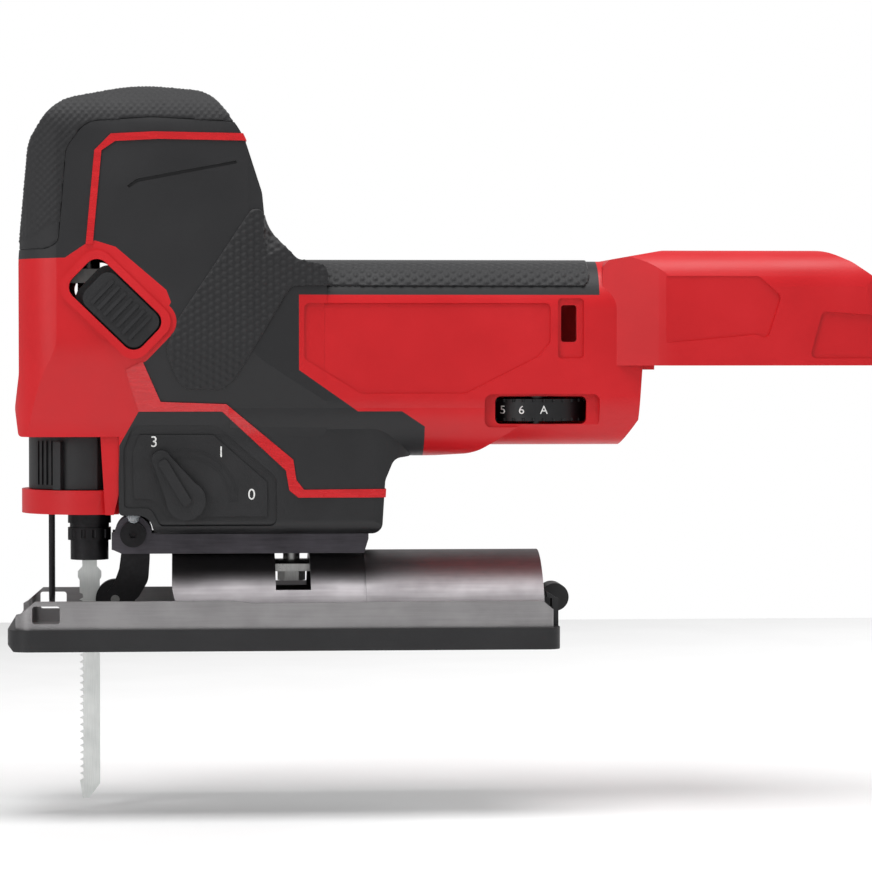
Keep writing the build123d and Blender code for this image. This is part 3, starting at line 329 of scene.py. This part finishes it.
def aboveBorder(places):
    (frontX, frontZ), (rearX, rearZ) = capBorder["front"], capBorder["rear"]
    run, rise = rearX - frontX, rearZ - frontZ
    height = ((places[:, 2] / mm - frontZ) * run - (places[:, 0] / mm - frontX) * rise) / math.hypot(run, rise)
    return easeBetween(height, capBorder["band"] - 0.5, capBorder["band"] + 0.5)


coverWithRelief("head_cap", capRelief, diamonds, capRubber, aboveBorder)
for side in ("left", "right"):
    coverWithRelief("grip_strip_" + side, gripRelief, pebbles, gripRubber)
print("relief cut on the cap and grips")


# Pad-printed numbers: a film of white ink, slightly broken at its edge, standing 0.05 mm off the moulding.
printInk = {"tone": "#E4E4E2", "worn": "#C9C9C8", "film": 0.05, "digitShare": 0.7}
# left edge, foot and height of each number in mm
coverNumbers = {"3": (22.0, 71.0, 3.8), "1": (45.5, 67.4, 3.8), "0": (56.2, 52.4, 3.8)}
dialNumbers = {"5": (145.6, 82.4, 2.9), "6": (151.9, 82.4, 2.9), "A": (159.4, 82.4, 2.9)}


def whiteInk():
    material, tree, shader, place = startMaterial("padPrintInk", 0.55)
    wear = addNode(tree, "TexNoise", softNoise, cellsOf(tree, place, [1.2] * 3)).outputs["Fac"]
    worn, fresh = hexColour(printInk["worn"]), hexColour(printInk["tone"])
    feed(tree, shader, "Base Color", wear, [(0.3, worn), (0.5, fresh)])
    return material


inkFinish = whiteInk()


def printNumber(name, text, left, foot, height, faceY, body):
    letters = bpy.data.curves.new(name, "FONT")
    letters.body = text
    letters.size = height * mm / printInk["digitShare"]  # a digit is this share of the type size
    letters.extrude = printInk["film"] * mm
    drawn = bpy.data.objects.new(name + "Curve", letters)
    bpy.context.scene.collection.objects.link(drawn)
    bpy.context.view_layer.update()
    made = bpy.data.meshes.new_from_object(drawn.evaluated_get(bpy.context.evaluated_depsgraph_get()))
    bpy.data.objects.remove(drawn)
    piece = bpy.data.objects.new(name, made)
    bpy.context.scene.collection.objects.link(piece)
    piece.location = (left * mm, faceY, foot * mm)
    piece.rotation_euler = (math.pi / 2, 0, 0)
    piece.data.materials.clear()
    piece.data.materials.append(inkFinish)
    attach(piece, body)
    return piece


coverSpan = (0.050, 0.070)  # the flat part of the cover, in height
coverPoints = [vertex.co for vertex in frame["nodes"]["gear_cover_left"].data.vertices]
coverFace = min(point.y for point in coverPoints if coverSpan[0] < point.z < coverSpan[1])
dialLow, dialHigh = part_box("speed_dial")
dialMiddle = (dialLow + dialHigh) / 2
dialRadius = (dialHigh.x - dialLow.x) / 2
for digit, (left, foot, height) in coverNumbers.items():
    printNumber("cover_number_" + digit, digit, left, foot, height, coverFace, "housing")


# Raised track beside the selector: two thin ribs about its pivot with a tick at each stop.
selectorTrack = {"inner": (15.0, 15.5), "outer": (17.6, 18.1), "from": -2.0, "to": 104.0, "step": 2.0,
                 "stands": 0.2, "sinks": 0.2, "tick": 0.5}
selectorStops = (0.0, 43.0, 86.0)


def addBar(corners, quads, near, far, innerEdge, outerEdge):
    # one bar between two edges given as lists of (x, z) in metres
    start = len(corners)
    for (ax, az), (bx, bz) in zip(innerEdge, outerEdge):
        corners += [(ax, near, az), (bx, near, bz), (bx, far, bz), (ax, far, az)]
    count = len(innerEdge)
    for i in range(count - 1):
        a, b = start + 4 * i, start + 4 * (i + 1)
        quads += [(a + k, a + (k + 1) % 4, b + (k + 1) % 4, b + k) for k in range(4)]
    end = start + 4 * (count - 1)
    quads += [(start + 3, start + 2, start + 1, start), (end, end + 1, end + 2, end + 3)]


def drawSelectorTrack():
    joints = frame["record"]["behaviour"]["joints"]
    at = next(joint["pos_m"] for joint in joints if joint["name"] == "orbit_turn")
    corners, quads = [], []
    near, far = coverFace - selectorTrack["stands"] * mm, coverFace + selectorTrack["sinks"] * mm

    def onArc(radius, angle):
        return (at[0] + radius * mm * math.cos(angle), at[2] + radius * mm * math.sin(angle))

    steps = int((selectorTrack["to"] - selectorTrack["from"]) / selectorTrack["step"])
    sweep = [math.radians(selectorTrack["from"] + i * selectorTrack["step"]) for i in range(steps + 1)]
    for part in ("inner", "outer"):
        low, high = selectorTrack[part]
        addBar(corners, quads, near, far, [onArc(low, a) for a in sweep], [onArc(high, a) for a in sweep])
    for stop in selectorStops:
        half = selectorTrack["tick"] / 2
        middle = math.radians(stop)
        edges = []
        for radius in (selectorTrack["inner"][1], selectorTrack["outer"][0]):
            spread = half / radius
            edges.append((onArc(radius, middle - spread), onArc(radius, middle + spread)))
        addBar(corners, quads, near, far, [e[0] for e in edges], [e[1] for e in edges])
    mesh = bpy.data.meshes.new("selector_track")
    mesh.from_pydata(corners, [], quads)
    mesh.materials.append(finishes["black_plastic"])
    piece = bpy.data.objects.new("selector_track", mesh)
    bpy.context.scene.collection.objects.link(piece)
    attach(piece, "housing")


drawSelectorTrack()
for digit, (left, foot, height) in dialNumbers.items():
    piece = printNumber("dial_number_" + digit, digit, left, foot, height, dialLow.y, "dial")
    for vertex in piece.data.vertices:
        away = (left * mm + vertex.co.x - dialMiddle.x) / dialRadius
        vertex.co.z -= dialRadius * (1 - math.sqrt(1 - away * away))  # wraps the number round the thumbwheel
print("numbers printed on the gear cover and the dial")


studio = {"floorDrop": 0.004, "floorSize": 1.7, "floorTone": "#F6F6F6", "floorShade": "#F3F3F3",
          "sky": "#FFFFFF", "skyFill": 0.42, "skySeen": 1.0}


def paintedFloor():
    # Matt painted board: almost white, with a trace of roller texture.
    material, tree, shader, place = startMaterial("paintedBoard", 0.8)
    cloud = addNode(tree, "TexNoise", softNoise, cellsOf(tree, place, [60.0] * 3)).outputs["Fac"]
    shade, tone = hexColour(studio["floorShade"]), hexColour(studio["floorTone"])
    feed(tree, shader, "Base Color", cloud, [(0.3, shade), (0.7, tone)])
    return material


def layFloor():
    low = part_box("blade")[0]
    bpy.ops.mesh.primitive_plane_add(size=studio["floorSize"], location=(0, 0, low.z - studio["floorDrop"]))
    floor = bpy.context.object
    floor.name = "floor"
    floor.data.materials.append(paintedFloor())


def softLight(name, place, aim, size, power):
    lamp = bpy.data.lights.new(name, "AREA")
    lamp.shape = "RECTANGLE"
    lamp.size, lamp.size_y = size
    lamp.energy = power
    lampObject = bpy.data.objects.new(name, lamp)
    bpy.context.scene.collection.objects.link(lampObject)
    lampObject.location = place
    lampObject.rotation_euler = (Vector(aim) - Vector(place)).to_track_quat("-Z", "Y").to_euler()


cameraFacts = {"distance": 1.302, "turn": -4.0, "raise": 1.75, "aim": (0.1245, 0.0, 0.0699), "lens": 145.4}


def setCamera():
    turn, up = math.radians(cameraFacts["turn"]), math.radians(cameraFacts["raise"])
    aim = Vector(cameraFacts["aim"])
    away = Vector((math.sin(turn) * math.cos(up), -math.cos(turn) * math.cos(up), math.sin(up)))
    camera = bpy.data.cameras.new("camera")
    camera.lens = cameraFacts["lens"]
    camera.sensor_width = 36
    camera.clip_start = 0.05
    cameraObject = bpy.data.objects.new("camera", camera)
    bpy.context.scene.collection.objects.link(cameraObject)
    cameraObject.location = aim + away * cameraFacts["distance"]
    cameraObject.rotation_euler = (-away).to_track_quat("-Z", "Y").to_euler()
    bpy.context.scene.camera = cameraObject


layFloor()
world = bpy.data.worlds.new("studio")
world.use_nodes = True
sky = world.node_tree
sky.nodes["Background"].inputs["Color"].default_value = hexColour(studio["sky"])
seen = addNode(sky, "LightPath").outputs["Is Camera Ray"]  # plain white behind, less of it as light
skyRange = {"To Min": studio["skyFill"], "To Max": studio["skySeen"]}
strength = addNode(sky, "MapRange", skyRange, {"Value": seen})
sky.links.new(strength.outputs["Result"], sky.nodes["Background"].inputs["Strength"])
bpy.context.scene.world = world
bpy.context.scene.view_settings.view_transform = "Standard"
softLight("overhead", (0.1, -0.25, 1.1), (0.12, 0, 0.08), (1.1, 0.6), 11.0)
softLight("leftFront", (-0.75, -0.85, 0.55), (0.08, 0, 0.08), (0.5, 0.7), 4.2)
softLight("rightBack", (0.95, 0.6, 0.6), (0.12, 0, 0.08), (0.6, 0.6), 5.0)
setCamera()
print("floor, lights and camera set")
